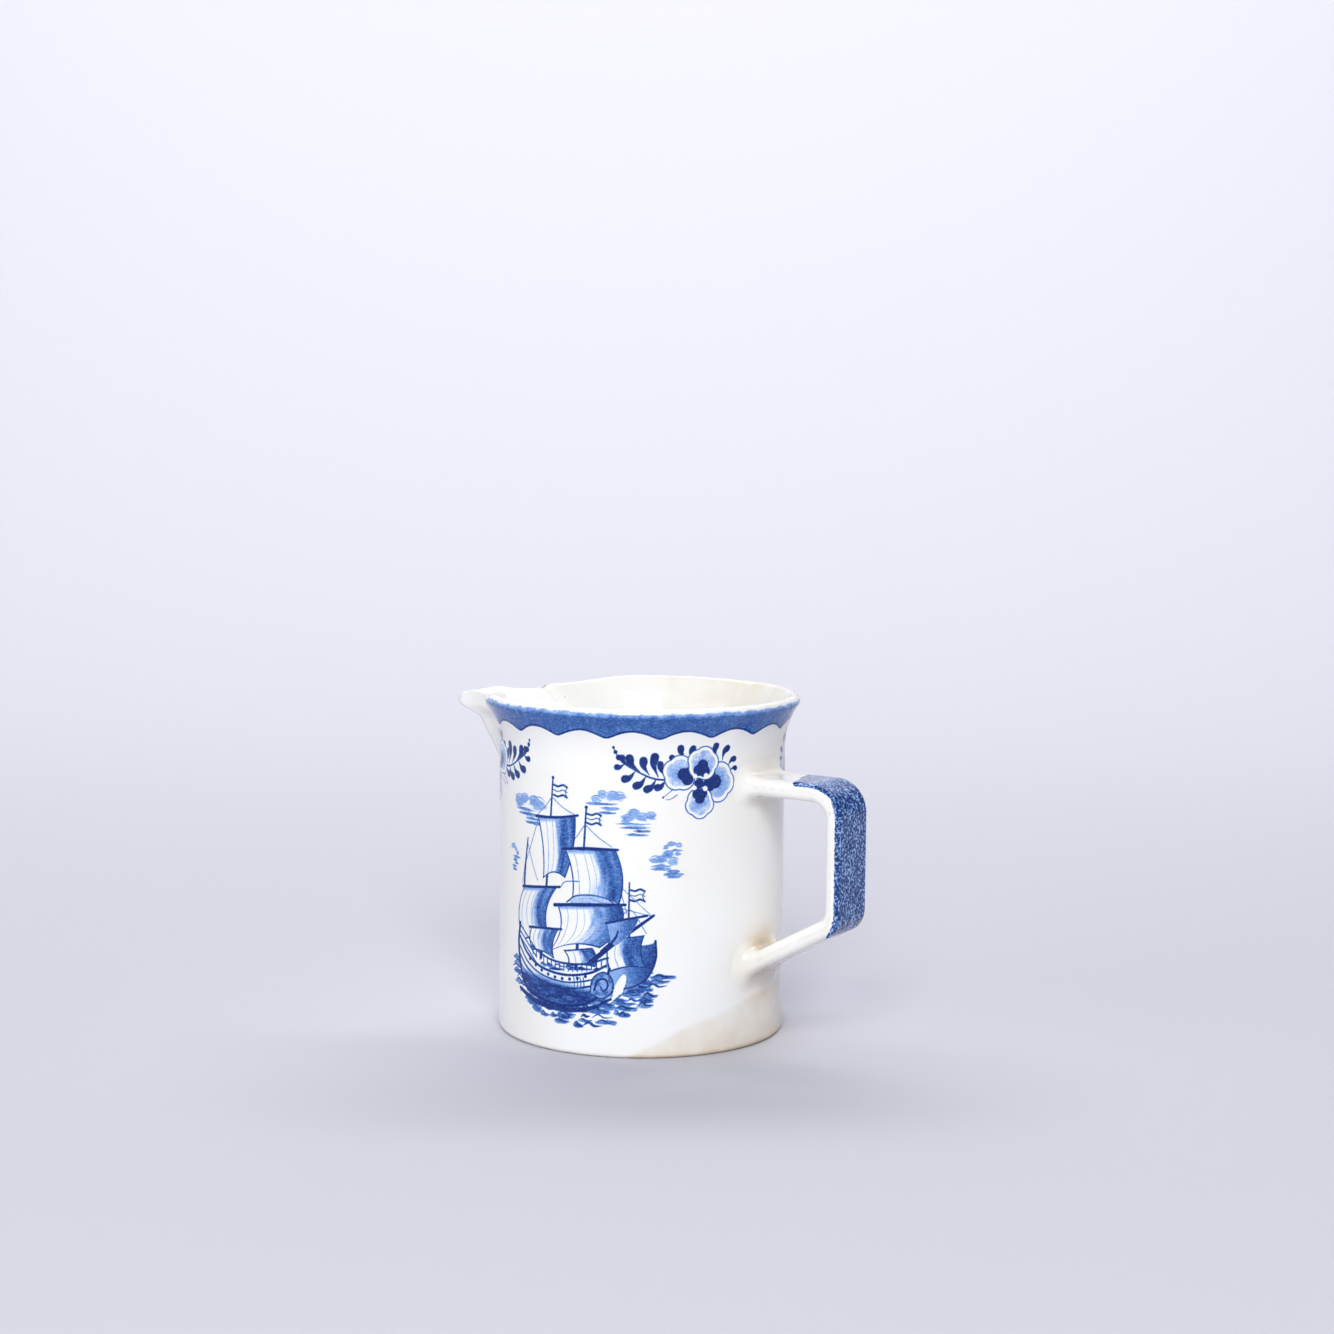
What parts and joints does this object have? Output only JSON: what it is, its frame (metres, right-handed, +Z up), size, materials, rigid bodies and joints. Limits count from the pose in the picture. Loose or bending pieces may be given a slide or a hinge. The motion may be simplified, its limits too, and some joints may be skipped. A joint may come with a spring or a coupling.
{
  "type": "cream jug",
  "caption": "Small cylindrical glazed cream jug with a flared rim, a beaked pouring spout and a square-bend strap handle.",
  "frame": {"origin": "centre of the foot on the pot's axis, in the plane it stands on", "axes": "+Z up the pot's axis, +X towards the handle, -X towards the spout, +Y to complete a right-handed frame"},
  "size_m": [0.1265, 0.0836, 0.09],
  "materials": {
    "glazed_body": "glossy warm-white glaze over cobalt-blue printed decoration, with beige age stains",
    "glazed_white": "glossy warm-white glaze",
    "glazed_handle": "glossy warm-white glaze with cobalt-blue sponging over the outer face"
  },
  "bodies": {
    "root": {"body": "glazed_body", "spout": "glazed_white", "spout_slip": "glazed_white", "handle": "glazed_handle", "handle_upper_slip": "glazed_white", "handle_lower_slip": "glazed_white"}
  },
  "joints": []
}
